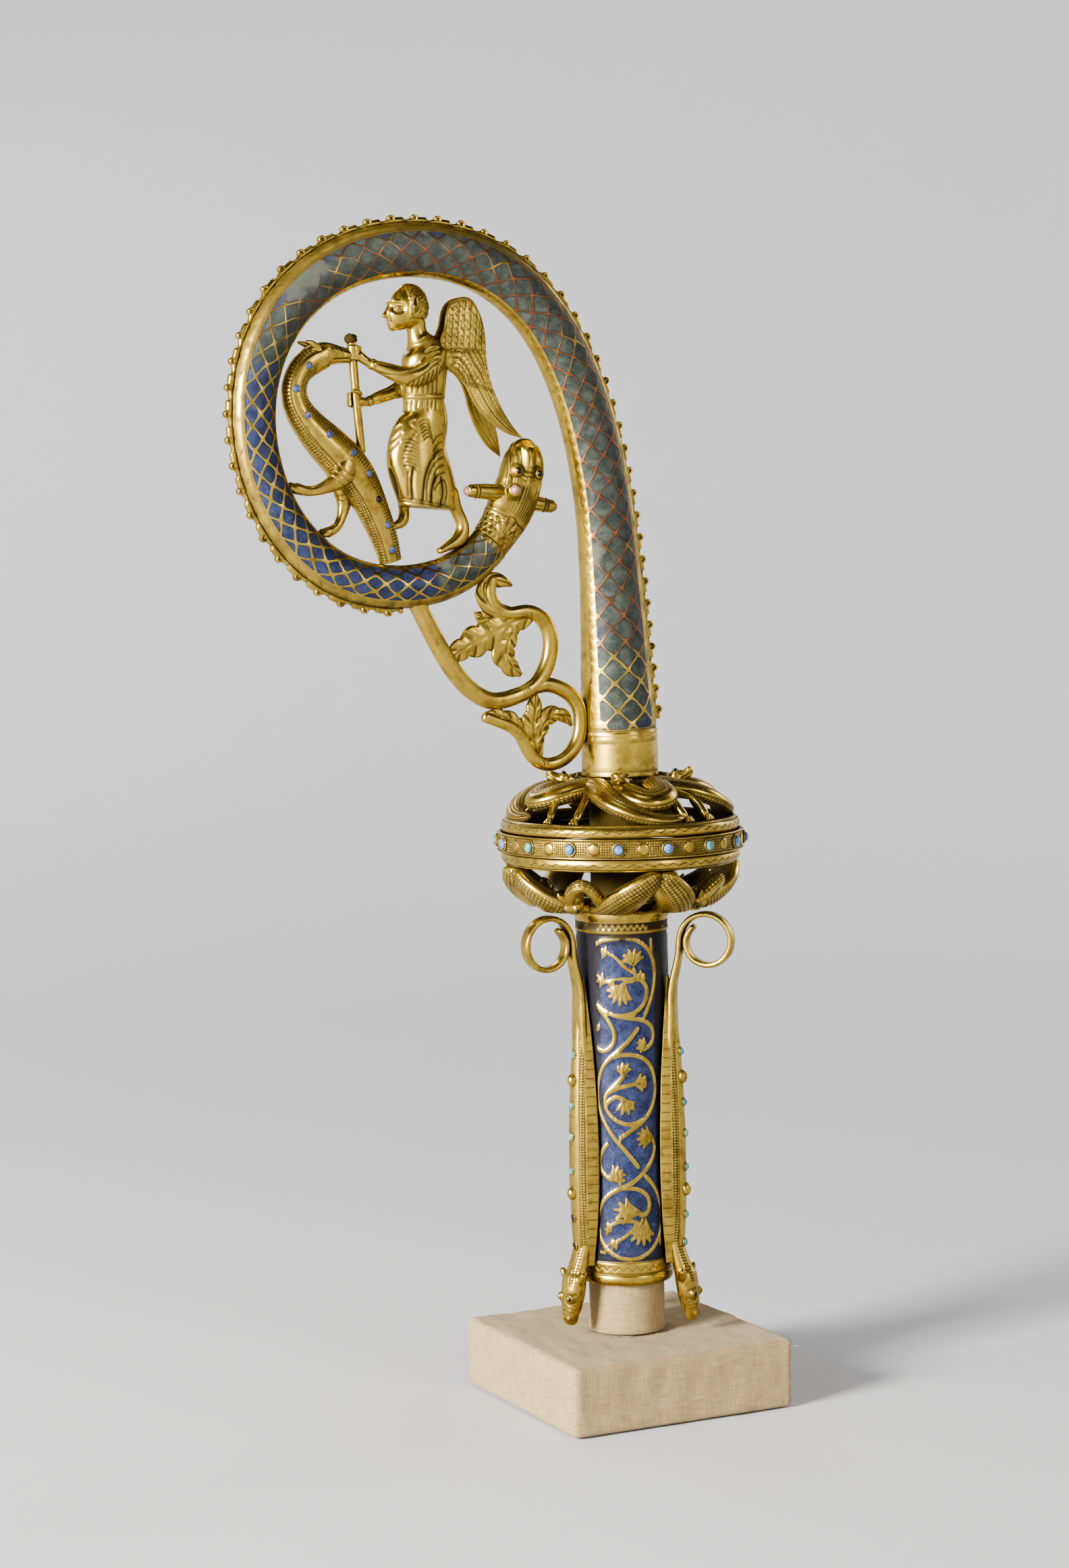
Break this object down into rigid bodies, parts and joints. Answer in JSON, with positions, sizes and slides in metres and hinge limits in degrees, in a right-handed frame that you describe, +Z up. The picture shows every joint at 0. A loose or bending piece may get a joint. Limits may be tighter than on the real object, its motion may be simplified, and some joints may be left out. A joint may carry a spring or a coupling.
{
  "type": "crosier head",
  "caption": "Enamelled crook ending in a serpent's head, with an angel and a dragon in its curl, a pierced knop, and a socket with lizards, on a covered peg and block.",
  "frame": {"origin": "middle of the block's underside, on the axis of the socket", "axes": "+Z up along the socket, -X towards the curl, -Y towards the front, where the serpent's crown of the head shows"},
  "size_m": [0.1601, 0.0762, 0.3492],
  "materials": {
    "gilt_copper": "worn gilding on cast and hammered copper",
    "enamelled_copper": "sunk enamel between gilt lines on copper",
    "turquoise_glass": "opaque polished glass beads",
    "linen": "undyed linen glued over wood"
  },
  "bodies": {
    "root": {"angel": "gilt_copper", "crook": "enamelled_copper", "crook_crest": "gilt_copper", "dragon": "gilt_copper", "knop_band": "gilt_copper", "knop_bead_01": "turquoise_glass", "knop_bead_02": "turquoise_glass", "knop_bead_03": "turquoise_glass", "knop_bead_04": "turquoise_glass", "knop_bead_05": "turquoise_glass", "knop_bead_06": "turquoise_glass", "knop_bead_07": "turquoise_glass", "knop_bead_08": "turquoise_glass", "knop_bead_09": "turquoise_glass", "knop_bead_10": "turquoise_glass", "knop_bead_11": "turquoise_glass", "knop_bead_12": "turquoise_glass", "knop_bead_13": "turquoise_glass", "knop_bead_14": "turquoise_glass", "knop_bead_15": "turquoise_glass", "knop_bead_16": "turquoise_glass", "knop_collar": "gilt_copper", "knop_lower": "gilt_copper", "knop_upper": "gilt_copper", "lizard_1": "gilt_copper", "lizard_1_bead_1": "turquoise_glass", "lizard_1_bead_2": "turquoise_glass", "lizard_1_bead_3": "turquoise_glass", "lizard_1_bead_4": "turquoise_glass", "lizard_2": "gilt_copper", "lizard_2_bead_1": "turquoise_glass", "lizard_2_bead_2": "turquoise_glass", "lizard_2_bead_3": "turquoise_glass", "lizard_2_bead_4": "turquoise_glass", "lizard_2_bead_5": "turquoise_glass", "lizard_2_bead_6": "turquoise_glass", "lizard_3": "gilt_copper", "lizard_3_bead_1": "turquoise_glass", "lizard_3_bead_2": "turquoise_glass", "lizard_3_bead_3": "turquoise_glass", "lizard_3_bead_4": "turquoise_glass", "lizard_3_bead_5": "turquoise_glass", "lizard_3_bead_6": "turquoise_glass", "socket": "enamelled_copper", "stand_block": "linen", "stand_peg": "linen", "vine_scroll": "gilt_copper", "wing_far": "gilt_copper", "wing_near": "gilt_copper"}
  },
  "joints": []
}
